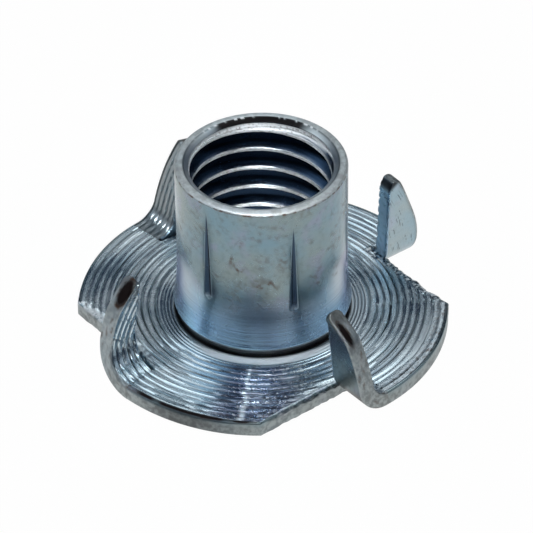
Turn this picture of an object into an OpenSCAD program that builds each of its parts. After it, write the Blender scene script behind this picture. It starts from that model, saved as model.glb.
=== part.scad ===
// Four-prong tee nut: one blank of sheet steel, drawn into a threaded barrel, faced on the
// side that bites the wood, slit at the rim and folded up into prongs.
// The flange stands on z = 0 and the barrel rises along +Z, with its axis on the origin.

/* [Flange] */
// Diameter of the round blank
flange_d = 24.2; // [22:0.1:27]
// Thickness of the sheet at the flange
flange_t = 1.1; // [0.8:0.05:1.5]
// Radius worn round both edges of the rim
rim_edge_r = 0.15; // [0.05:0.05:0.3]
// Radius of the flange's corner at the mouth of each slit
notch_corner_r = 0.35; // [0.1:0.05:0.6]

/* [Barrel] */
// Outside diameter of the barrel
barrel_d = 11; // [10.6:0.1:12]
// Height from the flange's underside to the barrel's rim
total_h = 12.4; // [10.5:0.1:16]
// Radius round the outside of the barrel's rim
barrel_rim_r = 0.25; // [0.1:0.05:0.4]
// How far the barrel's foot swells out beyond the barrel
foot_swell = 0.3; // [0.15:0.05:0.5]
// Height of the swelling, from its lip up to the plain barrel
foot_swell_h = 3.4; // [2:0.1:5]
// Height of the step that the facing tool leaves between the flange and the lip
foot_step_h = 0.75; // [0.4:0.05:1.2]
// How far the step lies back under the lip
foot_undercut = 0.2; // [0.05:0.05:0.3]

/* [Press marks on the barrel] */
// Number of press marks round the barrel
mark_count = 6; // [3:1:8]
// Direction of the first mark, in degrees from +X
mark_az = 51; // [0:1:119]
// Distance from the barrel's rim down to the top of a mark
mark_top_gap = 1.1; // [0.6:0.1:2.5]
// Length of a mark
mark_length = 6.4; // [3:0.1:7]
// Depth of a mark at its lower end, running out to nothing at its top
mark_depth = 0.16; // [0.05:0.01:0.25]
// Angle across the mark's two sides
mark_angle = 128; // [90:2:140]

/* [Bore] */
// Diameter across the crests of the thread
bore_d = 8.9; // [8.4:0.05:9.2]
// Outside diameter of the thread, reached by the countersink in the rim
thread_d = 10; // [9.4:0.1:10.2]
// Depth of the countersink
mouth_depth = 0.3; // [0.15:0.05:0.6]
// Radius where the underside of the flange draws into the bore
entry_r = 0.9; // [0.4:0.05:1]

/* [Prongs] */
// Number of prongs
prong_count = 4; // [2:1:4]
// Width of a prong at its fold, from the slit out to the rim
prong_w = 2.7; // [1.8:0.1:3.2]
// Direction of the first prong's fold, in degrees from +X
fold_az = 37.5; // [0:0.5:89]
// How far the slit runs on past its nearest point to the axis before the fold starts
fold_back = 0.4; // [0:0.05:1]
// Inside radius of the fold
fold_r = 0.7; // [0.4:0.05:1.2]
// Angle through which a prong is folded up
fold_angle = 87; // [75:1:95]
// How much each face of the sheet draws in where it is stretched round the fold
fold_thinning = 0.03; // [0.02:0.01:0.06]
// Width of the sheared slit
slit_gap = 0.12; // [0.05:0.01:0.3]
// Radius of a prong's point
tip_r = 0.3; // [0.15:0.05:0.6]

/* [Turned face] */
// Radius of the innermost tool groove
groove_start_r = 7; // [6.6:0.05:8]
// Feed of the tool from one groove to the next
groove_feed = 0.45; // [0.35:0.05:0.8]
// Width of a groove
groove_w = 0.22; // [0.1:0.02:0.3]
// Depth of a groove
groove_depth = 0.1; // [0.04:0.01:0.15]
// Plain border between the last groove and the rim
groove_border = 0.45; // [0.3:0.05:1]

/* [Hidden] */
$fn = 96;

// Where the sheet neither stretches nor shrinks in a fold, as a share of its thickness
NEUTRAL_SHARE = 0.45;
// Cutting shapes reach this far past what they cut
PAST = 1;
// The sloping wall under the lip is drawn this many times its own length, to cross the swelling
STEP_RUN = 1.5;
// Each end of the fold is let this many degrees further into the flange and the blade
FOLD_LET_IN = 8;

flange_r = flange_d / 2;
barrel_r = barrel_d / 2;
bore_r = bore_d / 2;
thread_r = thread_d / 2;
lip_r = barrel_r + foot_swell;
foot_r = lip_r - foot_undercut;
lip_z = flange_t + foot_step_h;
swell_top_z = lip_z + foot_swell_h;
// Radius of the arc that is tangent to the barrel and passes through the lip
swell_arc_r = (pow(foot_swell_h, 2) + pow(foot_swell, 2)) / (2 * foot_swell);

// The slit is the line x = slit_x in a prong's own frame, where x runs out along the fold
slit_x = flange_r - prong_w;
prong_x = slit_x + slit_gap;
fold_start_y = -fold_back;
fold_length = fold_angle * PI / 180 * (fold_r + NEUTRAL_SHARE * flange_t);
blade_start_y = fold_start_y + fold_length;
fold_axis_z = flange_t + fold_r;
// The fold's edges lie inside those of the blade where the two meet
fold_inner_x = prong_x + fold_thinning;
fold_rim_x = sqrt(pow(flange_r, 2) - pow(blade_start_y, 2)) - fold_thinning;

groove_count = floor((flange_r - groove_border - groove_w / 2 - groove_start_r) / groove_feed) + 1;

// What rounding a square corner to radius r takes away, for the corner that points to +X and +Y
module corner_waste(r) {
    difference() {
        square(r + PAST);
        circle(r);
    }
}

// Half section of the flat blank out to a rim at rim_x, with its turned grooves and its worn rim
module blank_section(rim_x) {
    difference() {
        square([rim_x, flange_t]);
        for (i = [0 : groove_count - 1])
            translate([groove_start_r + i * groove_feed, flange_t])
                polygon([[-groove_w / 2, 0], [0, -groove_depth], [groove_w / 2, 0],
                         [groove_w / 2, PAST], [-groove_w / 2, PAST]]);
        translate([rim_x - rim_edge_r, flange_t - rim_edge_r])
            corner_waste(rim_edge_r);
        translate([rim_x - rim_edge_r, rim_edge_r])
            mirror([0, 1])
                corner_waste(rim_edge_r);
    }
}

// The same section across a prong where the fold has drawn it in on every side
module fold_section() {
    intersection() {
        translate([0, -fold_thinning])
            blank_section(fold_rim_x);
        translate([fold_inner_x, fold_thinning])
            square([prong_w, flange_t]);
    }
}

// Half section of the barrel: the plain tube, then the swelling at its foot. The swelling's arc
// and the sloping wall of the step cross at the lip.
module barrel_section() {
    difference() {
        square([barrel_r, total_h]);
        translate([barrel_r - barrel_rim_r, total_h - barrel_rim_r])
            corner_waste(barrel_rim_r);
    }
    difference() {
        square([lip_r + PAST, swell_top_z]);
        translate([barrel_r + swell_arc_r, swell_top_z])
            circle(swell_arc_r, $fn = 720);
        polygon([[foot_r, -PAST], [foot_r, flange_t],
                 [foot_r + STEP_RUN * foot_undercut, flange_t + STEP_RUN * foot_step_h],
                 [2 * flange_r, flange_t], [2 * flange_r, -PAST]]);
    }
}

// Half section of what is open: the bore, its countersink and its drawn entry
module bore_section() {
    translate([0, -PAST])
        square([bore_r, total_h + 2 * PAST]);
    polygon([[0, total_h - mouth_depth], [bore_r, total_h - mouth_depth], [thread_r, total_h],
             [thread_r, total_h + PAST], [0, total_h + PAST]]);
    translate([0, -PAST])
        difference() {
            square([bore_r + entry_r, entry_r + PAST]);
            translate([bore_r + entry_r, entry_r + PAST])
                circle(entry_r);
        }
}

// Flange and barrel as one revolved body
module turned_body() {
    rotate_extrude()
        difference() {
            union() {
                blank_section(flange_r);
                barrel_section();
            }
            bore_section();
        }
}

// One press mark: a tilted vee that runs in from above the barrel's surface and sinks into it
// towards the foot
module press_mark() {
    half_w = (mark_depth + PAST) * tan(mark_angle / 2);
    tilt = atan(mark_depth / mark_length);
    translate([barrel_r, 0, total_h - mark_top_gap])
        rotate([0, tilt, 0])
            translate([0, 0, -mark_length])
                linear_extrude(mark_length + PAST)
                    polygon([[0, 0], [mark_depth + PAST, -half_w], [mark_depth + PAST, half_w]]);
}

// What rounding takes off the corner between the line x = line_x and the rim. The metal lies
// inside that line for side = -1 and outside it for side = 1.
module rim_corner_waste(line_x, side, r) {
    centre_x = line_x + side * r;
    centre_y = sqrt(pow(flange_r - r, 2) - pow(centre_x, 2));
    difference() {
        translate([centre_x - r - PAST, centre_y])
            square([2 * (r + PAST), flange_r]);
        rotate(atan2(centre_y, centre_x) - (side > 0 ? 90 : 0))
            square(2 * flange_r);
        translate([centre_x, centre_y])
            circle(r);
    }
}

// What the slit and the fold take out of the flat flange, in the prong's own frame
module notch() {
    translate([slit_x, fold_start_y, -PAST])
        cube([flange_r, flange_d, flange_t + 2 * PAST]);
    translate([0, 0, -PAST])
        linear_extrude(flange_t + 2 * PAST)
            rim_corner_waste(slit_x, -1, notch_corner_r);
}

// Outline of the straight part of a prong as it lies in the flat blank
module blade_outline() {
    difference() {
        translate([prong_x, blade_start_y])
            square([flange_r, flange_d]);
        rim_corner_waste(prong_x, 1, tip_r);
    }
}

// A prong, drawn to the +Y side of its fold: the fold itself, then the blade cut from the blank
module prong() {
    translate([0, fold_start_y, fold_axis_z]) {
        rotate([-FOLD_LET_IN, 0, 0])
            rotate([0, 90, 0])
                rotate_extrude(angle = fold_angle + 2 * FOLD_LET_IN)
                    translate([fold_axis_z, 0])
                        rotate(90)
                            fold_section();
        rotate([fold_angle, 0, 0])
            translate([0, -blade_start_y, -fold_axis_z])
                intersection() {
                    rotate_extrude()
                        blank_section(flange_r);
                    translate([0, 0, -PAST])
                        linear_extrude(flange_t + 2 * PAST)
                            blade_outline();
                }
    }
}

// Turn and mirror a shape drawn in the prong's frame to each prong's place: a prong lies
// clockwise of its fold, seen from above
module at_each_prong() {
    for (k = [0 : prong_count - 1])
        rotate(fold_az + k * 360 / prong_count)
            mirror([0, 1, 0])
                children();
}

module tee_nut() {
    color([0.66, 0.71, 0.74])
        union() {
            difference() {
                turned_body();
                at_each_prong()
                    notch();
                for (i = [0 : mark_count - 1])
                    rotate(mark_az + i * 360 / mark_count)
                        press_mark();
            }
            at_each_prong()
                prong();
        }
}

tee_nut();
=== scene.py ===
"""A zinc-plated four-prong tee nut on a white table, in metres, in the frame of the CAD model.

Sizes are given in millimetres and turned into metres where a mesh is made. Angles round the
barrel run from +x towards +y, so that the nut's front is at 270 degrees.
"""

import bpy
import numpy as np
from mathutils import Matrix


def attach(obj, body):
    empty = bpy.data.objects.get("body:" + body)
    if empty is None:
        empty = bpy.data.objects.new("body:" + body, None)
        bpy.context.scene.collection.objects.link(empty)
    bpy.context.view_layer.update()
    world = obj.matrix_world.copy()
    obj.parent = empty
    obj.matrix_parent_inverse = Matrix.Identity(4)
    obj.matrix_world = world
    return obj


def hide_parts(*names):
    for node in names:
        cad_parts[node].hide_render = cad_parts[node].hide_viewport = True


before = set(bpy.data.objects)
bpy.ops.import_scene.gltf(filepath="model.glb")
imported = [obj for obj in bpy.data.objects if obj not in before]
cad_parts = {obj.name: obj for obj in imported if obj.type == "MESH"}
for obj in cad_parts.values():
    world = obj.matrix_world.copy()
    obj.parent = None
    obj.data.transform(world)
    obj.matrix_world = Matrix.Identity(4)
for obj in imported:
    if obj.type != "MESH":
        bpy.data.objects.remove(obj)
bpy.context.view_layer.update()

# ---------------------------------------------------------------------------------------------
# The camera: 38 degrees above the table, in front of the nut, on a long lens, leaning by a
# little over half a degree. Its focal length is given in pixels of a frame 533 pixels wide.
# ---------------------------------------------------------------------------------------------
ELEVATION, LEAN = np.radians(38.273), 0.010343
FOCAL_PIXELS, FRAME_PIXELS, SENSOR = 3279.3, 533.0, 36.0
AIM, DISTANCE = np.array([0.000268, 0.0, 0.003997]), 0.2118

back = np.array([0.0, -np.cos(ELEVATION), np.sin(ELEVATION)])
right = np.array([1.0, 0.0, 0.0])
up = np.cross(back, right)
lens = bpy.data.cameras.new("camera")
lens.sensor_width = SENSOR
lens.lens = SENSOR * FOCAL_PIXELS / FRAME_PIXELS
lens.clip_start = 0.01
lens.clip_end = 10.0
camera = bpy.data.objects.new("camera", lens)
bpy.context.scene.collection.objects.link(camera)
stand = np.eye(4)
stand[:3, 0] = np.cos(LEAN) * right - np.sin(LEAN) * up
stand[:3, 1] = np.sin(LEAN) * right + np.cos(LEAN) * up
stand[:3, 2] = back
stand[:3, 3] = AIM + DISTANCE * back
camera.matrix_world = Matrix(stand.tolist())
bpy.context.scene.camera = camera

# ---------------------------------------------------------------------------------------------
# The barrel: a tube drawn up out of the sheet, tapped M10 x 1.5 from the flange side, faced at
# its foot and marked by the six jaws of the press. Bright zinc plate over mild steel.
# ---------------------------------------------------------------------------------------------
BARREL_R, HEIGHT, RIM_ROUND = 5.5, 12.4, 0.26
BORE_R, ENTRY_ROUND = 4.45, 0.9
MOUTH_LOW, MOUTH_DEEP, MOUTH_WIDE = 12.1, 0.3, 0.55
PITCH, CREST_R, THREAD_START, THREAD_LOW = 1.5, 4.44, 11.095, 0.1
RUN_OUT, RUN_OUT_TOP, RUN_OUT_LEAN = 11.62, 12.08, 0.18
SWELL_TOP, SWELL_TALL, SWELL_OUT = 5.25, 3.4, 0.3
# One turn of the thread: heights above its start, and how deep it is cut there. The seam where
# the rolled metal met runs along the middle of the crest.
THREAD_STEP = np.array([0, 0.045, 0.1, 0.16, 0.22, 0.275, 0.32, 0.42, 0.53, 0.632, 0.91, 1.188, 1.28, 1.4])
THREAD_CUT = np.array([0.055, 0.022, 0.003, 0, 0.003, 0.022, 0.055, 0.2, 0.37, 0.54, 0.545, 0.54, 0.38, 0.2])
SEAM_STEP = 0.16
# The press marks: their places round the barrel; the top, the lower end and the depth of each.
MARK_TURNS = np.radians(51.0 + 60.0 * np.arange(6))
MARK_DEEP = 0.15
MARK_SIZES = [(11.3, 4.9, 0.14), (11.0, 4.8, 0.15), (11.4, 5.1, 0.14),
              (11.62, 4.95, 0.17), (10.95, 4.5, 0.16), (11.2, 4.9, 0.14)]
# Meshes: metres in a millimetre; points nearer than 1 / MERGE mm become one; folds sharper than
# SHARP stay creased.
MM, MERGE, SHARP = 0.001, 1e5, np.radians(38)
# Colours of the plate: two where it is cloudy or grainy between them, else one.
BRIGHT = (0.66, 0.81, 0.88), (0.74, 0.83, 0.86)
FILM = (0.185, 0.285, 0.34), (0.245, 0.30, 0.30)
FILM_PATCH, FILM_SPECK = (0.26, 0.285, 0.37), (0.12, 0.16, 0.17)
BLUE = (0.31, 0.52, 0.68), (0.30, 0.49, 0.71)
# A purple painted as a reflection, and a near-black painted as shade and dark reflections.
VIOLET_REFLECTION, PAINTED_DARK = (0.36, 0.38, 0.66), (0.020, 0.040, 0.075)
# White for worn places and for painted highlights.
RUBBED_AND_HIGHLIGHT, TOOL_LINE = (0.93, 0.94, 0.95), (0.10, 0.12, 0.15)
SHEARED = (0.19, 0.195, 0.19), (0.39, 0.42, 0.415)
# Brown for stains, and a near-black for grime and for painted shade.
BROWN, DIRT_AND_SHADE = (0.11, 0.068, 0.050), (0.014, 0.010, 0.010)
# Brown spots on the wall: angle in degrees, height, half width, half height and strength.
SPOTS = [(-110.7, 8.6, 0.12, 0.30, 0.8), (-106, 8.12, 0.35, 0.13, 0.9), (-88.3, 6.78, 0.75, 0.17, 0.9),
         (-76.3, 8.3, 0.3, 0.8, 0.45), (-104.3, 10.3, 0.25, 0.3, 0.35), (-50.3, 6.1, 0.4, 0.5, 0.4),
         (-118.9, 7.0, 0.45, 0.2, 0.4), (-57, 9.6, 0.25, 0.15, 0.4)]


def smooth(lo, hi, x):
    """Smooth step: t t (3 - 2 t) with t = (x - lo) / (hi - lo) held between 0 and 1."""
    t = np.clip((x - lo) / (hi - lo), 0.0, 1.0)
    return t * t * (3.0 - 2.0 * t)


def waver(x, y, seed, waves=9):
    """A smooth random field of x and y, mostly within -1..1: a sum of sines over the root of
    their count. Their wave numbers, up to one wave a unit, and phases come from the seed."""
    rng = np.random.default_rng(seed)
    kx, ky, ph = rng.uniform(-6.3, 6.3, waves), rng.uniform(-6.3, 6.3, waves), rng.uniform(0, 6.3, waves)
    return sum(np.sin(a * x + b * y + c) for a, b, c in zip(kx, ky, ph)) / np.sqrt(waves)


def closed_bands(here, beside):
    """Quads between two lists of closed lines of points, here[k] and beside[k], as rows of four
    point numbers. Each line's last point joins its first."""
    return np.stack([here, beside, np.roll(beside, -1, 1), np.roll(here, -1, 1)], -1).reshape(-1, 4)


def steel_piece(name, points, quads, paint):
    """A closed surface of points (n, 3) in millimetres and quads (m, 4). Points at one place
    become one, faces that fall flat with that are dropped, and the rest turn outward. paint
    holds one number a point for each named attribute."""
    _, first, where = np.unique(np.round(points * MERGE).astype(np.int64), axis=0,
                                return_index=True, return_inverse=True)
    q = where.ravel()[quads]
    tris = np.vstack([q[:, [0, 1, 2]], q[:, [0, 2, 3]]])
    tris = tris[(tris[:, 0] != tris[:, 1]) & (tris[:, 1] != tris[:, 2]) & (tris[:, 0] != tris[:, 2])]
    p = points[first]
    volume = np.einsum("ij,ij->i", p[tris[:, 0]], np.cross(p[tris[:, 1]], p[tris[:, 2]])).sum()
    if volume < 0:
        tris = tris[:, ::-1]
    mesh = bpy.data.meshes.new(name)
    mesh.vertices.add(len(p))
    mesh.vertices.foreach_set("co", (p * MM).astype(np.float32).ravel())
    mesh.loops.add(3 * len(tris))
    mesh.loops.foreach_set("vertex_index", tris.astype(np.int32).ravel())
    mesh.polygons.add(len(tris))
    mesh.polygons.foreach_set("loop_start", np.arange(0, 3 * len(tris), 3, dtype=np.int32))
    mesh.update(calc_edges=True)
    mesh.shade_smooth()
    mesh.set_sharp_from_angle(angle=SHARP)
    for key, value in paint.items():
        layer = mesh.attributes.new(key, "FLOAT", "POINT")
        layer.data.foreach_set("value", value.ravel()[first].astype(np.float32))
    piece = bpy.data.objects.new(name, mesh)
    bpy.context.scene.collection.objects.link(piece)
    return piece


def zinc_plate():
    """Bright zinc plate: a metal, cloudy in colour and gloss. Attributes of each point, 0 to 1,
    lay over it in turn: skin, the greyer film of an unturned face; blue, the film's tint;
    violet, a purple painted as a reflection; ink, painted shade and dark reflections; rough,
    worn bright and matt, and painted highlights; tooled, fine lines spaced by the attribute line
    in millimetres; dull, bare sheared steel; stain; and dirt, grime and painted shade."""
    mat = bpy.data.materials.new("zinc_plate")
    mat.use_nodes = True
    n, link = mat.node_tree.nodes, mat.node_tree.links.new
    shade = n["Principled BSDF"]
    shade.inputs["Metallic"].default_value = 1.0

    def attribute(key):
        node = n.new("ShaderNodeAttribute")
        node.attribute_name = key
        return node.outputs["Fac"]

    def noise(scale, detail, rough, kind="3D", w=None):
        node = n.new("ShaderNodeTexNoise")
        node.noise_dimensions = kind
        node.inputs["Scale"].default_value = scale
        node.inputs["Detail"].default_value = detail
        node.inputs["Roughness"].default_value = rough
        if w is None:
            link(place.outputs["Object"], node.inputs["Vector"])
        else:
            link(w, node.inputs["W"])
        return node.outputs["Fac"]

    def math(kind, a, b):
        node = n.new("ShaderNodeMath")
        node.operation = kind
        for socket, value in zip(node.inputs, (a, b)):
            if isinstance(value, float):
                socket.default_value = value
            else:
                link(value, socket)
        return node.outputs[0]

    def ramp(value, low, high, a=0.0, b=1.0):
        node = n.new("ShaderNodeMapRange")
        node.interpolation_type = "SMOOTHSTEP"
        for socket, v in zip(("From Min", "From Max", "To Min", "To Max"), (low, high, a, b)):
            node.inputs[socket].default_value = v
        link(value, node.inputs["Value"])
        return node.outputs["Result"]

    def mix(share, a, b):
        node = n.new("ShaderNodeMix")
        node.data_type = "RGBA"
        link(share, node.inputs["Factor"])
        for socket, value in ((node.inputs["A"], a), (node.inputs["B"], b)):
            if isinstance(value, tuple):
                socket.default_value = (*value, 1.0)
            else:
                link(value, socket)
        return node.outputs["Result"]

    place = n.new("ShaderNodeTexCoord")
    cloud = noise(260.0, 4.0, 0.6)
    speck = noise(2600.0, 3.0, 0.6)
    patch = noise(620.0, 3.0, 0.55)
    colour = mix(ramp(cloud, 0.35, 0.65), *BRIGHT)
    skin = mix(ramp(cloud, 0.3, 0.7), *FILM)
    skin = mix(ramp(patch, 0.5, 0.72, 0.0, 0.7), skin, FILM_PATCH)
    skin = mix(ramp(speck, 0.45, 0.75, 0.0, 0.35), skin, FILM_SPECK)
    colour = mix(attribute("skin"), colour, skin)
    blue = mix(ramp(cloud, 0.35, 0.65), *BLUE)
    colour = mix(attribute("blue"), colour, blue)
    # Purple painted as a reflection.
    colour = mix(attribute("violet_reflection"), colour, VIOLET_REFLECTION)
    # Near-black painted as shade and dark reflections.
    colour = mix(attribute("painted_dark"), colour, PAINTED_DARK)
    # Worn places and painted highlights both turn pale here.
    rubbed_and_highlight = math("MINIMUM", attribute("rough"), 1.0)
    colour = mix(math("MULTIPLY", rubbed_and_highlight, 0.75), colour, RUBBED_AND_HIGHLIGHT)
    lines = noise(1.0, 3.0, 0.7, "1D", math("MULTIPLY", attribute("line"), 9.0))
    streak = math("MULTIPLY", attribute("tooled"), ramp(lines, 0.42, 0.62, 0.0, 0.3))
    colour = mix(streak, colour, TOOL_LINE)
    dull = attribute("dull")
    sheared = mix(ramp(speck, 0.35, 0.65), *SHEARED)
    colour = mix(dull, colour, sheared)
    brown = math("MULTIPLY", attribute("stain"), ramp(speck, 0.38, 0.6))
    colour = mix(brown, colour, BROWN)
    # Grime and painted shade darken towards near black.
    colour = mix(attribute("dirt_and_shade"), colour, DIRT_AND_SHADE)
    link(colour, shade.inputs["Base Color"])
    gloss = math("ADD", ramp(cloud, 0.3, 0.7, 0.16, 0.26), math("MULTIPLY", speck, 0.06))
    gloss = math("ADD", gloss, math("MULTIPLY", dull, 0.3))
    gloss = math("ADD", gloss, math("MULTIPLY", attribute("rough"), 0.35))
    gloss = math("ADD", gloss, math("MULTIPLY", attribute("stain"), 0.2))
    gloss = math("ADD", gloss, math("MULTIPLY", attribute("dirt_and_shade"), 0.12))
    link(gloss, shade.inputs["Roughness"])
    grain = math("ADD", math("MULTIPLY", math("MULTIPLY", lines, attribute("tooled")), 2.0),
                 math("MULTIPLY", speck, 0.25))
    bump = n.new("ShaderNodeBump")
    bump.inputs["Strength"].default_value = 0.35
    bump.inputs["Distance"].default_value = 0.00003
    link(grain, bump.inputs["Height"])
    link(bump.outputs["Normal"], shade.inputs["Normal"])
    return mat


def barrel_angles(columns=460):
    """Angles round the barrel, from 0, closer together at the press marks: equal steps of the
    running sum of 1 + 2.2 exp(-(a / 4 degrees)^4), with a the angle to the nearest mark."""
    dense = np.linspace(0, 2 * np.pi, 4001)
    near = np.abs((dense[:-1, None] - MARK_TURNS + np.pi) % (2 * np.pi) - np.pi).min(axis=1)
    weight = 1.0 + 2.2 * np.exp(-((near / np.radians(4.0)) ** 4))
    total = np.concatenate([[0], np.cumsum(weight)])
    return np.interp(np.arange(columns) / columns * total[-1], total, dense)[:, None]


def thread_phase(z, t):
    """Height within one turn of the thread, 0 to PITCH: what whole turns leave of z, less the
    thread's start and the helix's rise at the angle t."""
    return np.mod(z - (THREAD_START + PITCH * t / (2 * np.pi)), PITCH)


def bore_radius(z, t):
    """Radius of the bore at height z and angle t: the thread, which leans out and fades at its
    run-out, the straight countersink of the mouth or the quarter round of the drawn entry,
    whichever is widest."""
    phase = thread_phase(z, t)
    cut = np.interp(phase, np.append(THREAD_STEP, PITCH), np.append(THREAD_CUT, THREAD_CUT[0]))
    seam = np.exp(-((phase - SEAM_STEP) / 0.035) ** 2) * (0.018 + 0.022 * waver(0.9 * t, 0.1 * z, 4))
    torn = 0.010 * waver(14 * t, 3.1 * z, 3) * np.exp(-((phase - SEAM_STEP) / 0.2) ** 4)
    fade = 1.0 - smooth(11.60, 11.95, z)
    lead = RUN_OUT_LEAN * np.clip((z - RUN_OUT) / (RUN_OUT_TOP - RUN_OUT), 0, 1)
    thread = CREST_R + (cut + np.clip(seam, 0, None)) * fade + torn + lead
    mouth = np.where(z > MOUTH_LOW, BORE_R + (z - MOUTH_LOW) / MOUTH_DEEP * MOUTH_WIDE, 0.0)
    under = ENTRY_ROUND - np.minimum(z, ENTRY_ROUND)
    entry = BORE_R + ENTRY_ROUND - np.sqrt(np.clip(ENTRY_ROUND ** 2 - under ** 2, 0.0, None))
    return np.maximum(np.maximum(thread, mouth), np.where(z < ENTRY_ROUND, entry, 0.0))


def press_marks(z, t):
    """Depth of the press marks at height z and angle t: each is a vee with sides 28 degrees
    from the wall, sunk to its full depth at the lower end and by the power 0.6 of the height
    left to its top above that."""
    depth = np.zeros_like(z)
    for mark, (top, low, deep) in zip(MARK_TURNS, MARK_SIZES):
        side = BARREL_R * np.sin((t - mark + np.pi) % (2 * np.pi) - np.pi)
        sunk = deep * np.clip((top - z) / (top - low), 0, None) ** 0.6
        sunk = np.where((z > low) & (np.cos(t - mark) > 0), sunk, 0.0)
        depth = np.maximum(depth, np.clip(sunk - np.abs(side) / np.tan(np.radians(62)), 0, None))
    return depth


def bore_paint(z, t):
    """Attributes of the bore: blue-grey flanks, painted dark as a reflection; worn crests with streaks
    and stains, painted pale as highlights; and a mouth painted dark as a reflection at its back and
    as shade along its sharp corner, with painted glints there."""
    phase = thread_phase(z, t)
    crest = np.exp(-((phase - 0.11) / 0.175) ** 6)
    crest = np.where(z > RUN_OUT, np.maximum(crest, smooth(11.6, 11.7, z)), crest)
    crest = np.where(z > 12.09, 0.0, crest)
    cone = smooth(RUN_OUT_TOP, 12.14, z)
    # The flanks are painted dark as a reflection.
    flank = (1 - crest) * smooth(12.12, 12.06, z)
    # Crests turn pale in streaks as painted highlights, over their real wear.
    streaks = np.clip(1.15 + 0.8 * waver(3.5 * t, 14 * phase + 3 * z, 40), 0.25, 2.0)
    streaks = np.where(z > RUN_OUT, np.maximum(streaks, 0.8), streaks)
    rub = 0.5 * crest * smooth(0.2, 1.3, waver(9 * t, 6 * z, 35) + waver(31 * t, 15 * z, 36))
    # The countersink is painted dark at its back as a reflection, and along its sharp corner as shade.
    ends = np.exp(-(((t - np.pi / 2) / np.radians(40)) ** 4)) + 0.05 * waver(5 * t, 2 * z, 38)
    painted_mouth_dark = cone * (0.92 * smooth(0.2, 0.75, ends) + 0.06)
    corner = np.exp(-(((z - 12.37) / 0.03) ** 2))
    glint = corner * smooth(0.0, 0.5, waver(14 * t, 0 * z, 39)) * smooth(0.3, 0.8, np.sin(t))
    painted_mouth_dark = np.maximum(painted_mouth_dark, 0.65 * corner) * (1 - 0.95 * glint)
    none = np.zeros_like(z)
    # Crests, the cone away from its dark back and the corner's glints turn pale as painted highlights.
    return {"tooled": 1.1 * crest, "dull": none, "skin": flank + 0.6 * cone,
            "rough": crest * streaks + 0.35 * cone * (1 - painted_mouth_dark) + glint,
            "violet_reflection": none, "blue": none, "painted_dark": flank, "stain": rub, "dirt_and_shade": painted_mouth_dark}


def wall_paint(z, t, groove):
    """Attributes of the outside, with groove the depth in the press marks over MARK_DEEP: the faced
    blue foot below about 4.5, the grey drawn skin with brown spots above it, the dull crown with
    painted light, greyer at its sides and paler at its front, painted shade under the foot's lip,
    and painted reflections: dark in the press marks, light, dark and purple fields on the barrel's
    lower part, and one dark patch."""
    crown = smooth(12.2, 12.36, z)
    low = smooth(5.7, 3.3, z + 0.2 * waver(1.6 * t, 0.2 * z, 31))
    # Below the foot's lip the wall is painted near black, as shade in the undercut.
    under = smooth(1.86, 1.7, z)
    stain = smooth(0.8, 1.8, waver(3.2 * t, 0.5 * z, 32) + waver(9 * t, 1.9 * z, 33))
    stain = 0.3 * stain * (1 - low)
    for turn_at, height, wide, tall, strong in SPOTS:
        off = BARREL_R * np.sin(t - np.radians(turn_at))
        rise = z - height - 0.2 * waver(9 * t, 1 + 0 * t, 34)
        spot = np.exp(-((off / wide) ** 2) - (rise / tall) ** 2)
        stain = np.maximum(stain, 1.25 * strong * spot * (np.cos(t - np.radians(turn_at)) > 0))
    lips = np.exp(-(((z - 12.23) / 0.055) ** 2)) * (0.75 + 0.25 * waver(8 * t, 0 * z, 37))
    # A navy field painted as a reflection on the front of the foot.
    navy = np.exp(-((BARREL_R * np.cos(t) / 3.2) ** 2) - ((z - 4.2) / 1.15) ** 2) * (np.sin(t) < 0)
    # Dark painted as a reflection low on both sides of the foot.
    side = np.exp(-(((z - 2.9) / 1.1) ** 2)) * smooth(0.93, 0.99, np.abs(np.cos(t)))
    # One dark patch painted as a reflection beside a press mark.
    dark_patch_turn = t + np.radians(124)
    dark_patch = np.exp(-((BARREL_R * np.sin(dark_patch_turn) / 0.28) ** 2) - ((z - 5.6) / 0.55) ** 2)
    dark_patch = dark_patch * (np.cos(dark_patch_turn) > 0)
    # Light fields painted as highlights on both sides of the foot, brighter on the right.
    from_front = np.abs((t - 1.5 * np.pi + np.pi) % (2 * np.pi) - np.pi)
    wing = np.exp(-(((z - 4.4 - 0.6 * np.cos(t) ** 2) / 1.5) ** 4)) * (z < 7)
    wing = wing * np.exp(-(((from_front - 1.08) / 0.2) ** 2))
    # Purple painted as a reflection at the sides of the foot.
    violet_reflection = np.exp(-(((z - 4.3) / 2.0) ** 4)) * smooth(0.86, 0.97, np.abs(np.cos(t)))
    # Painted dark as reflections: the front of the foot, its sides, one patch and the press marks.
    painted_dark = [0.8 * navy, 0.9 * smooth(0.0, 0.16, groove), 0.6 * side, 0.7 * dark_patch]
    # The crown is dull and worn all round; it is painted greyer at its sides and paler at its front.
    return {"tooled": low, "dull": crown * (0.45 + 0.3 * np.abs(np.cos(t))),
            "skin": (1 - low) * (1 - crown),
            "rough": (crown * (0.45 + 0.35 * np.clip(-np.sin(t), 0, 1))
                      + wing * (0.75 + 0.2 * (np.cos(t) > 0))),
            "violet_reflection": 0.7 * violet_reflection, "blue": 0.85 * low * (1 - under),
            "painted_dark": np.maximum.reduce(painted_dark), "stain": np.maximum(stain, 1.2 * lips), "dirt_and_shade": 0.9 * under}


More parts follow.
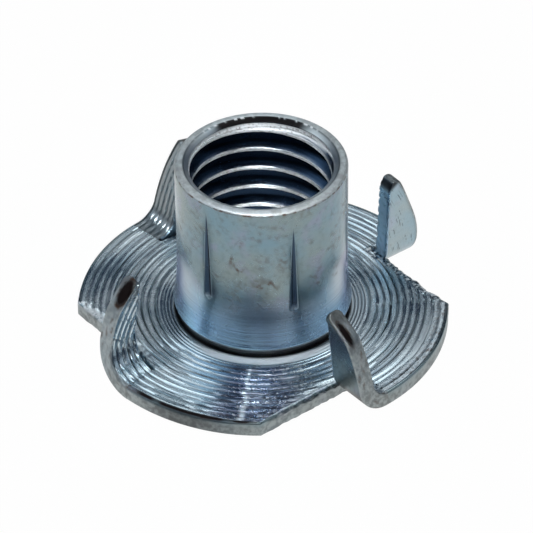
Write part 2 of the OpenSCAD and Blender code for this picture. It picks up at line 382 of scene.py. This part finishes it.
def barrel_piece():
    """Grid of radius over the angle t and the way round the wall's section: up the bore, over
    the mouth and the round rim, down the wall, which swells on an arc, and under the foot. The
    bore's rows follow the helix, so that each keeps its place on the thread: row k of turn n
    lies at z = THREAD_START + PITCH (n + t / 360) + THREAD_STEP[k], held between the two ends
    of the thread. Where t comes round to 0, they join the rows of the next turn up."""
    t = barrel_angles()
    z = (THREAD_START + PITCH * np.arange(-9, 1)[:, None] + THREAD_STEP).ravel() + PITCH * t / (2 * np.pi)
    z = np.clip(z, THREAD_LOW, RUN_OUT_TOP)
    entry_z = np.array([0.012, 0.03, 0.06])[None] + 0 * t
    mouth_z = MOUTH_LOW + np.array([0.0, 0.07, 0.14, 0.21, 0.27])[None] + 0 * t
    inner_z = np.hstack([entry_z, z, mouth_z])
    inner_r = bore_radius(inner_z, t)

    turn = np.radians(np.linspace(0, 90, 9))
    rim_r = np.concatenate([[5.03, 5.1, 5.18], BARREL_R - RIM_ROUND + RIM_ROUND * np.sin(turn)])
    rim_z = np.concatenate([[HEIGHT - 0.003, HEIGHT, HEIGHT], HEIGHT - RIM_ROUND + RIM_ROUND * np.cos(turn)])
    swell = SWELL_TOP - SWELL_TALL * np.linspace(0.03, 0.999, 16)
    wall_z = np.concatenate([np.linspace(11.9, 5.3, 40), swell])
    arc = (SWELL_TALL ** 2 + SWELL_OUT ** 2) / (2 * SWELL_OUT)
    wall_r = BARREL_R + arc - np.sqrt(arc ** 2 - np.clip(SWELL_TOP - wall_z, 0, None) ** 2)
    foot_r = np.array([5.785, 5.72, 5.65, 5.60, 5.60, 5.60, 5.50])
    foot_z = np.array([1.80, 1.60, 1.38, 1.15, 0.9, 0.012, 0.012])
    outer_r = np.concatenate([rim_r, wall_r, foot_r])[None] + 0 * t
    outer_z = np.concatenate([rim_z, wall_z, foot_z])[None] + 0 * t
    marks = press_marks(outer_z, t)

    r = np.hstack([inner_r, outer_r - marks])
    zz = np.hstack([inner_z, outer_z])
    points = np.stack([r * np.cos(t), r * np.sin(t), zz], -1).reshape(-1, 3)
    cols, rows = r.shape
    here = np.arange(cols)[:, None] * rows + np.arange(rows)[None]
    next_turn = np.arange(rows)
    thread = slice(entry_z.shape[1], entry_z.shape[1] + z.shape[1])
    next_turn[thread] = np.minimum(next_turn[thread] + len(THREAD_STEP), thread.stop - 1)
    quads = closed_bands(here, np.vstack([here[1:], here[:1, next_turn]]))
    inner, outer = bore_paint(inner_z, t), wall_paint(outer_z, t, marks / MARK_DEEP)
    paint = {key: np.hstack([inner[key], outer[key]]) for key in inner}
    return steel_piece("barrel", points, quads, {"line": zz, **paint})


zinc = zinc_plate()
barrel = barrel_piece()
barrel.data.materials.append(zinc)
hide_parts("tee_nut")
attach(barrel, "root")

# ---------------------------------------------------------------------------------------------
# The flange: the rest of the same plated steel sheet, round the barrel's foot. Its top is
# turned in rings, and its rim is slit in four places and blanked from above. The notches stay
# where a tongue beside each slit goes up to make a prong.
# ---------------------------------------------------------------------------------------------
FLANGE_R, SHEET = 12.1, 1.1
FEED, FIRST_GROOVE, FIRST_RING = 0.45, 7.0, 6.775
# Mean distance of a notch from the axis, to turn angles along it into lengths, and the width
# that the slit takes from its tongue.
NOTCH_R, SLIT_WIDE = 9.4, 0.1
# The four notches and prongs, which differ a little as they were struck on hand-fed tooling.
# Lengths are in millimetres, angles and directions from the axis in degrees.
#   turn: place of the whole prong round the barrel, to which its other angles add.
#   fold, start: direction of the line where the fold starts, and its distance from the axis,
#     which is positive on the clockwise side. bend, angle: inner radius and angle of the fold.
#   slit, far: direction and distance of the slit along the tongue's near side.
#   edge, gap: direction and distance of the straight edge of the notch.
#   web: sheet left standing in the corner between the notch and the fold. burr: how far the
#     notch's edge is torn into burrs, painted bright as highlights.
#   cut, drawn: length cut off the point, and how many times its length the blade was drawn.
#   blunt: length over which the point is rounded. thick: share of the sheet left at its end.
#   bulge, lean, trim: how far the blade's outer side bulges or leans in towards the point, and
#     is cut away at the neck. tooth: spacing of the teeth on its near side.
#   pit: middle and reach in degrees, and height and half height in the sheet, of a dark pit.
#   grey, shade, gloom, pale: share of grey film on the sides, painted shade on the faces,
#     painted shade under the fold, and how much paler the sheared sides are.
PRONGS = [
    dict(turn=0, fold=37.1, start=-0.31, bend=0.62, angle=88.7, slit=38.8, far=9.01,
         cut=1.15, drawn=1.07, edge=38.3, gap=9.28, web=0.0, blunt=0.55, bulge=0.0,
         grey=0.75, trim=0.6, thick=0.85, tooth=0.27),
    dict(turn=90, fold=35.0, start=-1.78, bend=1.37, angle=78.2, slit=37.0, far=9.34,
         cut=1.5, drawn=1.1, edge=37.0, gap=9.34, web=0.0, blunt=0.4, bulge=0.0,
         shade=0.65),
    dict(turn=180, fold=43.7, start=-0.06, bend=1.85, angle=94.3, slit=39.3, far=9.58,
         cut=0.25, drawn=1.0, edge=39.2, gap=9.28, web=0.0, blunt=0.5, bulge=0.4,
         burr=1.0, pit=(8.5, 4.4, 0.72, 0.42), lean=0.2, pale=0.3),
    dict(turn=270, fold=39.4, start=-0.16, bend=0.95, angle=86.0, slit=36.6, far=9.10,
         cut=1.3, drawn=1.0, edge=38.0, gap=9.42, web=0.9, blunt=0.5, bulge=0.0,
         pit=(9.8, 4.0, 0.36, 0.22), shade=0.35, lean=0.8, gloom=1.0, pale=0.1),
]


def near_angle(th, middle, reach, power=4):
    """exp(-(a / reach)^power), with a the angle from middle to th, and middle and reach in
    degrees: 1 about middle and 0 well past reach."""
    return np.exp(-(((th - np.radians(middle)) / np.radians(reach)) ** power))


def ring_number(r):
    """Number of the turned ring in which the radius r lies, counted from 0 at FIRST_RING."""
    return np.floor((r - FIRST_RING) / FEED)


def before_barrel(th):
    """1 on the part of the flange that lies in front of the barrel, else 0."""
    return near_angle(th, 268, 40)


def sheet_top(r, th):
    """Depth of the tool's grooves below the turned face, over the blank's radius and angle in
    the finished nut: a smooth ring by the barrel, raised a little at the front, fine lines out
    to FIRST_GROOVE, then a vee every FEED, each with its own depth and waver."""
    ring = ring_number(r)
    middle = FIRST_GROOVE + FEED * ring + 0.012 * waver(2.2 * th, 1.7 * ring, 11)
    deep = np.clip(0.115 + 0.03 * waver(1.3 * th, 2.3 * ring, 12), 0.06, 0.16)
    vee = np.clip(1 - np.abs(r - middle) / 0.09, 0, None)
    coarse = np.where((ring >= 0) & (ring <= 11), deep * vee, 0.0)
    fine = 0.03 * np.clip(np.cos(2 * np.pi * (r - 6.42) / 0.22), 0, None)
    ahead = before_barrel(th)
    begin = 5.9 + 0.45 * ahead
    raised = 0.085 * ahead * np.clip((6.38 - r) / 0.48, 0, 1)
    return coarse + fine * smooth(begin, begin + 0.1, r) * (1 - smooth(6.9, 6.98, r)) - raised


def groove_rows(low, high):
    """Radii between low and high that follow the grooves: eight to each FEED."""
    steps = np.array([-0.115, -0.09, -0.045, 0.0, 0.045, 0.09, 0.115, 0.225])
    every = (FIRST_GROOVE + FEED * np.arange(12)[:, None] + steps).ravel()
    return every[(every > low) & (every < high)]


def fold_start(p):
    """Angle in the blank from which a prong's grid starts, before any of its fold: the larger
    of the two where r sin(fold - th) = start, with r the slit's distance or the rim's radius."""
    f = np.radians(p["fold"])
    return max(f - np.arcsin(p["start"] / p["far"]), f - np.arcsin(p["start"] / FLANGE_R))


def front_lobe(th):
    """1 on the rim between two notches where the punch rolled the edge over most, else 0."""
    return near_angle(th, 236, 26)


def flange_outline():
    """The flange's outline once round, as columns: angle, radius, and how far each place is a
    notch, lies by a fold, or has burrs. A notch runs straight from the angle where its edge
    meets the rim to the one where its fold starts, and the rim goes on to the next notch."""
    columns = []
    for p, after in zip(PRONGS, PRONGS[1:] + PRONGS[:1]):
        edge, base = np.radians(p["edge"]), np.radians(p["turn"])
        low, high = edge - np.arccos(p["gap"] / FLANGE_R), fold_start(p)
        th = low + (high - low) * np.linspace(0, 1, 100)
        left = (high - th) * NOTCH_R
        web = p["web"] * np.exp(-((left / 0.6) ** 2))
        web = web + max(p["far"] + SLIT_WIDE - p["gap"], 0) * np.exp(-((left / 1.6) ** 2))
        burr = np.full_like(th, p.get("burr", 0.0))
        notch_r = p["gap"] / np.cos(th - edge) + web
        columns.append([base + th, notch_r, np.ones_like(th), np.exp(-((left / 1.8) ** 2)), burr])
        until = np.radians(after["edge"] + 90) - np.arccos(after["gap"] / FLANGE_R)
        th = high + (until - high) * np.linspace(0, 1, 64)[:-1]
        none = np.zeros_like(th)
        columns.append([base + th, np.full_like(th, FLANGE_R), none, none, none])
    return (np.concatenate(parts)[:, None] for parts in zip(*columns))


def flange_piece():
    """Grid over the angle and the way round the sheet's section: the top from the barrel out,
    the edge, and the underside back. The corners between notch and rim are rounded by a soft
    minimum of their radii, -c log(exp(-a / c) + exp(-b / c)). The edge is rolled over at the
    top, as a blanking punch leaves it, and the notches are torn."""
    th, r_out, cut, fold, burr = flange_outline()
    soft, about, most = 0.22, 12, FLANGE_R + 0.05
    held = -soft * np.log(np.exp(-(r_out - about) / soft) + np.exp(-(most - about) / soft)) + about
    held = held + (FLANGE_R - held.max()) * np.exp(-(FLANGE_R - r_out) / 0.2)
    r_out = np.where(cut > 0, held, r_out) + 0.03 * smooth(11.9, 12.1, r_out) * waver(1.1 * th, 0 * th, 22)
    torn = smooth(11.9, 11.4, r_out) * cut
    ragged = torn * np.where(np.cos(th - np.radians(25)) > 0.9, 1.0, 0.35)
    r_out = r_out + ragged * (0.07 * waver(9 * th, 0 * th, 21) + 0.05 * waver(24 * th, 0 * th, 23))

    front = front_lobe(th)
    edge = 0.17 + 0.2 * front * (1 - cut) + 0.17 * cut * (1 - fold) * smooth(12.05, 11.5, r_out)
    core = 8.6  # rows inside this radius are round, and those outside spread out to the edge
    ring_rows = [[5.45, 5.6, 5.7, 5.78, 5.84], np.arange(5.87, 6.83, 0.055)]
    inner = np.concatenate([*ring_rows, groove_rows(6.84, core)])
    outer = np.concatenate([groove_rows(core, 11.65), [11.7]])
    share = (outer - core) / (outer[-1] - core)
    r_top = np.hstack([inner[None] + 0 * th, core + share[None] * (r_out - edge - core)])
    by_edge = torn * smooth(r_out - edge - 0.5, r_out - edge, r_top)
    z_top = SHEET - sheet_top(r_top, th) * (1 - by_edge) - 0.05 * by_edge
    turn = np.radians(np.linspace(0, 90, 10))[None, 1:]
    below = np.radians(np.array([[0, 30, 60, 90]]))
    r_edge = np.hstack([r_out - edge + edge * np.sin(turn), r_out + 0 * turn[:, :3],
                        r_out - 0.14 + 0.14 * np.cos(below)])
    z_edge = np.hstack([SHEET - 0.05 * torn - edge * (1 - np.cos(turn)),
                        np.array([[0.6, 0.45, 0.3]]) + 0 * th,
                        0.14 - 0.14 * np.sin(below) + 0 * th])
    r_edge = r_edge + 0.04 * ragged * waver(30 * th, 8 * z_edge, 24)
    r_low = np.array([[11.0, 10.0, 9.0, 8.0, 7.0, 6.2, 5.45]])
    r_low = np.minimum(r_low, r_out - 0.3 - 0.05 * np.arange(7)[None])
    r, z = np.hstack([r_top, r_edge, r_low]), np.hstack([z_top, z_edge, 0 * r_low])
    points = np.stack([r * np.cos(th), r * np.sin(th), z], -1).reshape(-1, 3)
    rows = r.shape[1]
    here = np.arange(len(th))[:, None] * rows + np.arange(rows)[None]
    quads = closed_bands(here, np.roll(here, -1, 0))

    # Which points are the turned face, and the sheared wall that grows dull downwards.
    turned = r_top.shape[1]
    top = np.zeros_like(r)
    top[:, :turned] = 1.0
    wall = np.zeros_like(r)
    wall[:, turned:turned + r_edge.shape[1]] = smooth(0, 0.4, SHEET - z_edge) * 0.8
    on_right = smooth(-0.1, 0.8, np.cos(th - np.radians(-40)))
    wall = wall * (1 - 0.1 * on_right)
    # Painted shade in the grooves, under the foot and on the front wall. Darker, too, along the
    # rolled rim at the front and in one spot by the right-hand notch.
    dirt_and_shade = np.zeros_like(r)
    dirt_and_shade[:, :turned] = 0.85 * np.clip((SHEET - z_top) / 0.12, 0, 1) ** 1.5
    lip = near_angle(th, 247, 22, 6) * (1 - cut)
    lip = np.clip(lip * (1.15 + 0.3 * waver(7 * th, 0 * th, 25)), 0, 1)
    dirt_and_shade[:, turned:turned + 6] = lip * np.array([[0.8, 1.0, 1.0, 1.0, 0.6, 0.15]])
    # The flange is painted near black by the foot, as shade in the undercut.
    dirt_and_shade = np.maximum(dirt_and_shade, 0.97 * top * smooth(5.83, 5.77, r))
    spot = np.exp(-(((np.angle(np.exp(1j * th)) * 11.7 + 0.1) / 0.16) ** 2) - ((r - 11.7) / 0.14) ** 2)
    dirt_and_shade = np.maximum(dirt_and_shade, top * spot)
    # The front wall is painted darker, as shade.
    front_wall_shade = 0.5 * front * smooth(np.radians(224), np.radians(246), th)
    dirt_and_shade = np.maximum(dirt_and_shade, front_wall_shade * (1 - cut) * (1 - top) * smooth(0.0, 0.2, SHEET - z))
    # Painted highlights: the ring by the foot, the dabs and arcs where the rings catch the light at
    # the front, the burrs and chips of the torn notches, and sparkling grains.
    ahead = before_barrel(th)
    ring = np.exp(-(((r - 6.12) / 0.25) ** 4)) * top * ahead
    land = top * (sheet_top(r, th) < 0.01) * (r > 6.9)
    number = ring_number(r)
    dab_turn = th - np.radians(263) + 0.012 * waver(0 * th, 2.1 * number, 41)
    dab = np.exp(-((dab_turn / 0.014) ** 2))
    arc = smooth(0.9, 1.6, waver(2.6 * th, 3.7 * number, 42)) * ahead
    bright = land * np.maximum(0.9 * dab, 0.3 * arc)
    by_rim = smooth(0.75, 0.95, z) * smooth(r_out - 0.75, r_out - 0.45, r)
    chip = waver(40 * th, 3 * r, 43) + waver(71 * th, 5 * z, 44)
    burred = burr * smooth(9.9, 10.4, r_out) * smooth(-1.2, 0.2, chip)
    bright = np.maximum(bright, by_rim * (burred + ragged * (1 - burr) * smooth(0.4, 1.0, chip)))
    outer_land = top * smooth(10.9, 11.6, r) * on_right
    grains = waver(50 * th, 9 * r, 47) + waver(33 * th, 21 * r, 48)
    bright = np.maximum(bright, 0.7 * outer_land * smooth(0.5, 1.3, grains))
    middle = smooth(np.radians(252), np.radians(262), th) * smooth(np.radians(300), np.radians(290), th)
    bright = np.maximum(bright, 0.7 * middle * top * (r > 6.9) * smooth(1.1, 1.6, grains))
    # Painted dark: shade in the pits of the torn notches, and a reflection, tinted purple, on the field
    # before the barrel.
    shadow = near_angle(th, 268, 15) * smooth(6.4, 6.9, r) * top
    shadow = shadow * (1 - 0.9 * dab) * np.clip(0.9 + 0.18 * waver(3 * th, 4 * number, 46), 0, 1)
    painted_dark = by_rim * ragged * (1 - burr) * smooth(-0.2, -0.8, chip)
    painted_dark = np.maximum(painted_dark, 0.95 * shadow)
    stain = np.zeros_like(r)
    brown = (1 - cut) * (0.35 + 0.4 * front) * smooth(-0.4, 0.9, waver(5 * th, 0 * th, 26))
    stain[:, turned:turned + 5] = brown
    stain = np.maximum(stain, 0.9 * outer_land * smooth(-0.1, -1.0, grains))
    paint = {"line": r, "tooled": top * (0.2 + 0.3 * smooth(6.3, 6.45, r)), "stain": stain,
             "dull": wall, "dirt_and_shade": dirt_and_shade, "skin": 1 - top, "rough": np.maximum(2.0 * ring, bright),
             "blue": 0 * r, "violet_reflection": 0.75 * shadow, "painted_dark": painted_dark}
    return steel_piece("flange", points, quads, paint)


flange = flange_piece()
flange.data.materials.append(zinc)
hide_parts("tee_nut")
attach(flange, "root")

# ---------------------------------------------------------------------------------------------
# The prongs: four tongues of the flange's own sheet, each slit free along a straight line and
# folded up. One face keeps the turned grooves, and the sides are sheared bare.
# ---------------------------------------------------------------------------------------------
def rolled_up(p, r, th, w):
    """Where a point of the flat tongue, at radius r, angle th and height w in the sheet, comes
    by the fold: at a distance b past the fold's start it has turned by b / (bend + 0.45 SHEET)
    about the fold's axis, which lies bend above the sheet's top, and past the fold's angle it
    goes on straight."""
    f, g = np.radians(p["fold"]), np.radians(p["turn"])
    a = r * np.cos(th - f)
    b = r * np.sin(f - th) - p["start"]
    roll = p["bend"] + 0.45 * SHEET
    angle = np.radians(p["angle"])
    turned = np.clip(b, 0, angle * roll) / roll
    past = np.maximum(b - angle * roll, 0) * p["drawn"]
    arm = p["bend"] + SHEET - w
    along = np.where(b < 0, b, arm * np.sin(turned) + past * np.cos(angle)) + p["start"]
    z = np.where(b < 0, w, p["bend"] + SHEET - arm * np.cos(turned) + past * np.sin(angle))
    x = a * np.cos(f) + along * np.sin(f)
    y = a * np.sin(f) - along * np.cos(f)
    return np.stack([x * np.cos(g) - y * np.sin(g), x * np.sin(g) + y * np.cos(g), z], -1)


def prong_piece(p, name):
    """A tongue of the blank between its slit and the rim, as a grid over the angle from the
    fold's start to the point and the way round its section: the turned top, the rim side, the
    underside and the slit side. Then it is rolled up. The point is rounded both ways over the
    length blunt, down to one line across the sheet, where the two sides meet and close the
    skin. The root is closed by a fan inside the flange."""
    s = np.radians(p["slit"])
    start = fold_start(p)
    tip = s - np.arccos((p["far"] + SLIT_WIDE) / FLANGE_R) + p["cut"] / FLANGE_R
    v = np.linspace(0, 1, 120)[:, None]
    th = start + (tip - start) * (1 - (1 - v) ** 1.3)
    gone, left = (start - th) * FLANGE_R, (th - tip) * FLANGE_R
    placed = th + np.radians(p["turn"])
    web = p["web"] * np.exp(-(((start - th) * NOTCH_R / 0.8) ** 2))
    near = (p["far"] + SLIT_WIDE) / np.cos(th - s) + web
    trim = p.get("trim", 0.0)
    rim = FLANGE_R + p["bulge"] * smooth(0.45, 0.2, th - tip) - trim * np.exp(-((gone / 1.5) ** 2))
    rim = rim - p.get("lean", 0.0) * smooth(2.5, 0.2, left)
    rim = rim - 0.2 * trim * np.exp(-(((gone - 5.2) / 1.6) ** 2))
    mid, half = (near + rim) / 2, (rim - near) / 2
    closing = np.sqrt(np.clip(1 - (1 - np.clip(left / p["blunt"], 0, 1)) ** 2, 0, 1))
    half = np.maximum(half, 0.3) * closing
    mid = np.minimum(mid, rim - half)
    near, rim = mid - half, mid + half

    edge = np.minimum(0.13, half * 0.8)
    rolled = (0.04 + 0.2 * front_lobe(placed)) * np.exp(-((gone / 1.5) ** 2))
    over = np.minimum(0.13 + rolled, half * 0.8)
    rows_r = np.concatenate([[p["far"] + 0.2], groove_rows(p["far"] + 0.22, 11.9), [11.96]])
    share = (rows_r - rows_r[0]) / (rows_r[-1] - rows_r[0])
    r_top = near + edge + share[None] * (rim - near - edge - over)
    w_top = SHEET - sheet_top(r_top, placed) * smooth(0, 0.3, half)
    turn = np.radians(np.linspace(0, 90, 5))[None]
    flat = np.array([[0.9, 0.8, 0.7, 0.6, 0.5, 0.4, 0.3, 0.2]]) + 0 * th
    r_rim = np.hstack([rim - over + over * np.sin(turn), rim + 0 * flat, rim - edge + edge * np.cos(turn)])
    r_low = rim - edge - (rim - near - 2 * edge) * np.linspace(0.03, 0.97, 33)[None]
    r_cut = np.hstack([near + edge - edge * np.sin(turn), near + 0 * flat, near + edge - edge * np.cos(turn)])
    w_rim = np.hstack([SHEET - over + over * np.cos(turn), np.minimum(flat, SHEET - over),
                       edge - edge * np.sin(turn)])
    tooth = np.clip(np.cos(2 * np.pi * (near - FIRST_GROOVE) / p.get("tooth", FEED)), 0, None)
    teeth = 0.17 * tooth * smooth(0, 0.3, half)
    w_cut = np.hstack([edge - edge * np.cos(turn), flat[:, ::-1],
                       SHEET - edge + edge * np.sin(turn) - teeth])
    w_top[:, :1] = np.minimum(w_top[:, :1], SHEET - teeth)
    r = np.hstack([r_top, r_rim, r_low, r_cut])
    w = np.hstack([w_top, w_rim, 0 * r_low, w_cut])
    thick = p.get("thick", 0.15)
    w = SHEET / 2 + (w - SHEET / 2) * (thick + (1 - thick) * closing)

    points = rolled_up(p, r, th, w).reshape(-1, 3)
    cols, rows = r.shape
    here = np.arange(cols)[:, None] * rows + np.arange(rows)[None]
    centre = np.full(rows, len(points))
    points = np.vstack([points, points[here[0]].mean(0)])
    fan = np.stack([here[0], np.roll(here[0], -1), centre, centre], -1)
    quads = np.vstack([closed_bands(here[:-1], here[1:]), fan])

    # Where each side of the section starts, and how far it is sheared bare.
    turned, low = r_top.shape[1], r_top.shape[1] + r_rim.shape[1]
    slit_side = low + r_low.shape[1]
    under, band = slice(low, slit_side), slice(turned + 1, low - 1)
    top = np.zeros_like(r)
    top[:, :turned] = 1.0
    sheared = np.ones_like(r)
    sheared[:, :turned] = 0
    sheared[:, under] = 0
    sheared[:, slit_side:] = 0.3
    pale = p.get("pale", 0.0) * smooth(0.0, 3.0, gone)
    # Painted shade in the grooves, over the faces by shade, under the fold by gloom, and in the gap
    # where the slit side meets the flange. Darker, too, at the point, in scratches and along the
    # edges of the underside.
    dirt_and_shade = np.zeros_like(r)
    dirt_and_shade[:, :turned] = 0.75 * np.clip((SHEET - w_top) / 0.12, 0, 1) ** 1.5
    dirt_and_shade = np.maximum(dirt_and_shade, p.get("shade", 0.0) * (1 - sheared))
    tipped = smooth(1.6, 0.5, left) + 0 * r
    tipped[:, low:] = 1.8 * smooth(0.5, 0.15, left)
    dirt_and_shade = np.maximum(dirt_and_shade, 0.5 * tipped)
    scratch = smooth(0.85, 1.3, waver(0.5 * gone, 9 * r[:, under], 51))
    scratch = scratch * smooth(-0.2, 0.6, waver(0.8 * gone, r[:, under], 52))
    side = np.exp(-(((rim - r[:, under]) / 0.2) ** 2)) + np.exp(-(((r[:, under] - near) / 0.14) ** 2))
    dirt_and_shade[:, under] = np.maximum(dirt_and_shade[:, under], np.clip(0.6 * scratch + 0.5 * side, 0, 1))
    dirt_and_shade[:, under] = np.maximum(dirt_and_shade[:, under], p.get("gloom", 0.0) * smooth(2.8, 1.6, gone))
    dirt_and_shade[:, slit_side:] = np.maximum(dirt_and_shade[:, slit_side:], smooth(0.45, 0.2, gone))
    blue = np.zeros_like(r)
    blue[:, slit_side:] = 0.7
    stain = np.zeros_like(r)
    if "pit" in p:
        middle, reach, height, tall = p["pit"]
        away = ((np.degrees(th) - middle) / reach) ** 2 + ((w[:, band] - height) / tall) ** 2
        dirt_and_shade[:, band] = np.maximum(dirt_and_shade[:, band], np.minimum(1.6 * np.exp(-away ** 2), 1))
        stain[:, band] = np.exp(-(away - 1.1) ** 2 / 0.3)
    brown = 0.7 * smooth(0.3, 1.2, waver(13 * th, 3 * w[:, band], 27))
    stain[:, band] = np.maximum(stain[:, band], brown)
    # The slit side is painted dark in patches, as shade along its teeth.
    paint = {"line": r, "tooled": top, "stain": stain, "dull": (0.8 - pale) * sheared, "dirt_and_shade": dirt_and_shade,
             "skin": (1 - top) * p.get("grey", 1.0), "rough": pale * sheared, "blue": blue,
             "violet_reflection": 0 * r, "painted_dark": 0.55 * blue * smooth(-0.2, 0.8, waver(25 * th, 2 * w, 45))}
    return steel_piece(name, points, quads, {key: np.append(value, 0) for key, value in paint.items()})


for k, p in enumerate(PRONGS):
    prong = prong_piece(p, f"prong_{k + 1}")
    prong.data.materials.append(zinc)
    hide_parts("tee_nut")
    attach(prong, "root")

# ---------------------------------------------------------------------------------------------
# The table: a sheet of matt white paper. It shows as plain white and keeps the nut's shadow. In
# what the plate mirrors it is a little darker close to the nut than further out: a painted shadow.
# ---------------------------------------------------------------------------------------------
TABLE_HALF, TABLE_DROP = 2, -0.00001
# How white the table is in the plate, with a painted shadow near the nut: distance from the
# nut's axis, and the share of white.
MIRRORED_NEAR, MIRRORED_FAR = (0.0045, 0.8), (0.0090, 0.94)
# Most of the white that the table may have of its own. The rest is lit, and takes the shadow.
OWN_WHITE = 0.985

corners = [(-1, -1), (1, -1), (1, 1), (-1, 1)]
table = bpy.data.meshes.new("table")
table.from_pydata([(x * TABLE_HALF, y * TABLE_HALF, TABLE_DROP) for x, y in corners], [], [(0, 1, 2, 3)])
floor = bpy.data.objects.new("table", table)
bpy.context.scene.collection.objects.link(floor)
paper = bpy.data.materials.new("paper")
paper.use_nodes = True
n, link = paper.node_tree.nodes, paper.node_tree.links.new
matt = n["Principled BSDF"]
matt.inputs["Base Color"].default_value = (0.8, 0.8, 0.8, 1)
matt.inputs["Roughness"].default_value = 1.0
glow = n.new("ShaderNodeEmission")
seen = n.new("ShaderNodeLightPath")
mirrored, open_part, part = (n.new("ShaderNodeMath") for _ in range(3))
mirrored.operation = part.operation = "MAXIMUM"
open_part.operation = "MULTIPLY"
ground = n.new("ShaderNodeTexCoord")
radius = n.new("ShaderNodeVectorMath")
radius.operation = "LENGTH"
link(ground.outputs["Object"], radius.inputs[0])
# The painted shadow: a lower share of white close to the nut.
open_air = n.new("ShaderNodeMapRange")
open_air.interpolation_type = "SMOOTHSTEP"
for side, (away, share) in (("Min", MIRRORED_NEAR), ("Max", MIRRORED_FAR)):
    open_air.inputs["From " + side].default_value = away
    open_air.inputs["To " + side].default_value = share
link(radius.outputs["Value"], open_air.inputs["Value"])
link(seen.outputs["Is Glossy Ray"], mirrored.inputs[0])
link(seen.outputs["Is Transmission Ray"], mirrored.inputs[1])
link(mirrored.outputs[0], open_part.inputs[0])
link(open_air.outputs["Result"], open_part.inputs[1])
link(open_part.outputs[0], part.inputs[0])
link(seen.outputs["Is Camera Ray"], part.inputs[1])
held = n.new("ShaderNodeMath")
held.operation = "MULTIPLY"
held.inputs[1].default_value = OWN_WHITE
link(part.outputs[0], held.inputs[0])
blend = n.new("ShaderNodeMixShader")
link(held.outputs[0], blend.inputs["Fac"])
link(matt.outputs[0], blend.inputs[1])
link(glow.outputs[0], blend.inputs[2])
link(blend.outputs[0], n["Material Output"].inputs["Surface"])
table.materials.append(paper)

# ---------------------------------------------------------------------------------------------
# The light: a dark studio with seven soft bright discs round the nut, a small key lamp, and two
# narrow spots, one on the thread behind the mouth and one on the ring in front of the foot.
# ---------------------------------------------------------------------------------------------
DARK = (0.012, 0.022, 0.045)
PANELS = [  # direction towards the disc: azimuth and height in degrees; its half width; its colour
    (88.0, 59.0, 13.0, (1.70, 1.80, 1.85)),
    (50.0, 65.0, 16.0, (1.80, 1.90, 1.95)),
    (132.0, 62.0, 14.0, (1.05, 1.12, 1.18)),
    (180.0, 36.0, 21.0, (1.45, 1.58, 1.68)),
    (3.0, 27.0, 21.0, (0.55, 0.60, 0.65)),
    (90.0, 2.0, 17.0, (0.95, 1.00, 1.05)),
    (228.0, 54.0, 15.0, (0.75, 0.82, 0.90)),
]
LAMP_DISTANCE = 0.4


def direction(azimuth, height):
    """Unit vector at an azimuth from +x towards +y and a height, both in degrees."""
    az, el = np.radians(azimuth), np.radians(height)
    return np.array([np.cos(az) * np.cos(el), np.sin(az) * np.cos(el), np.sin(el)])


def hang_lamp(lamp_data, azimuth, height, aim):
    """Hang a lamp LAMP_DISTANCE from the point aim in the given direction, shining back at it:
    its z axis is that direction and its x axis is level."""
    lamp = bpy.data.objects.new(lamp_data.name, lamp_data)
    bpy.context.scene.collection.objects.link(lamp)
    toward, across = direction(azimuth, height), direction(azimuth + 90, 0)
    stand = np.eye(4)
    stand[:3, 0], stand[:3, 1], stand[:3, 2] = across, np.cross(toward, across), toward
    stand[:3, 3] = LAMP_DISTANCE * toward + np.array(aim)
    lamp.matrix_world = Matrix(stand.tolist())


world = bpy.data.worlds.new("studio")
bpy.context.scene.world = world
world.use_nodes = True
n, link = world.node_tree.nodes, world.node_tree.links.new
where = n.new("ShaderNodeTexCoord")
total = None
for azimuth, height, half, colour in PANELS:
    aim = n.new("ShaderNodeVectorMath")
    aim.operation = "DOT_PRODUCT"
    aim.inputs[1].default_value = direction(azimuth, height)
    link(where.outputs["Generated"], aim.inputs[0])
    lit = n.new("ShaderNodeMapRange")
    lit.interpolation_type = "SMOOTHSTEP"
    lit.inputs["From Min"].default_value = np.cos(np.radians(half * 1.25))
    lit.inputs["From Max"].default_value = np.cos(np.radians(half * 0.75))
    link(aim.outputs["Value"], lit.inputs["Value"])
    tint = n.new("ShaderNodeVectorMath")
    tint.operation = "MULTIPLY_ADD"
    tint.inputs[1].default_value = colour
    link(lit.outputs["Result"], tint.inputs[0])
    if total is None:
        tint.inputs[2].default_value = DARK
    else:
        link(total, tint.inputs[2])
    total = tint.outputs["Vector"]
link(total, n["Background"].inputs["Color"])

key = bpy.data.lights.new("key", "AREA")
key.shape = "DISK"
key.size = 0.014
key.energy = 0.1
hang_lamp(key, -104, 41, (0, 0, 0))
snoot = bpy.data.lights.new("snoot", "SPOT")
snoot.shadow_soft_size = 0.01
snoot.energy = 26.0
snoot.spot_size = np.radians(1.5)
snoot.spot_blend = 0.3
hang_lamp(snoot, -88, 38, (0, 0, 0.0115))
glint = bpy.data.lights.new("glint", "SPOT")
glint.shadow_soft_size = 0.01
glint.energy = 10.0
glint.spot_size = np.radians(1.3)
glint.spot_blend = 0.6
glint.color = (0.84, 0.93, 1.0)
hang_lamp(glint, -92, 60, (0, -0.0065, 0.0011))

bpy.context.scene.view_settings.view_transform = "Standard"
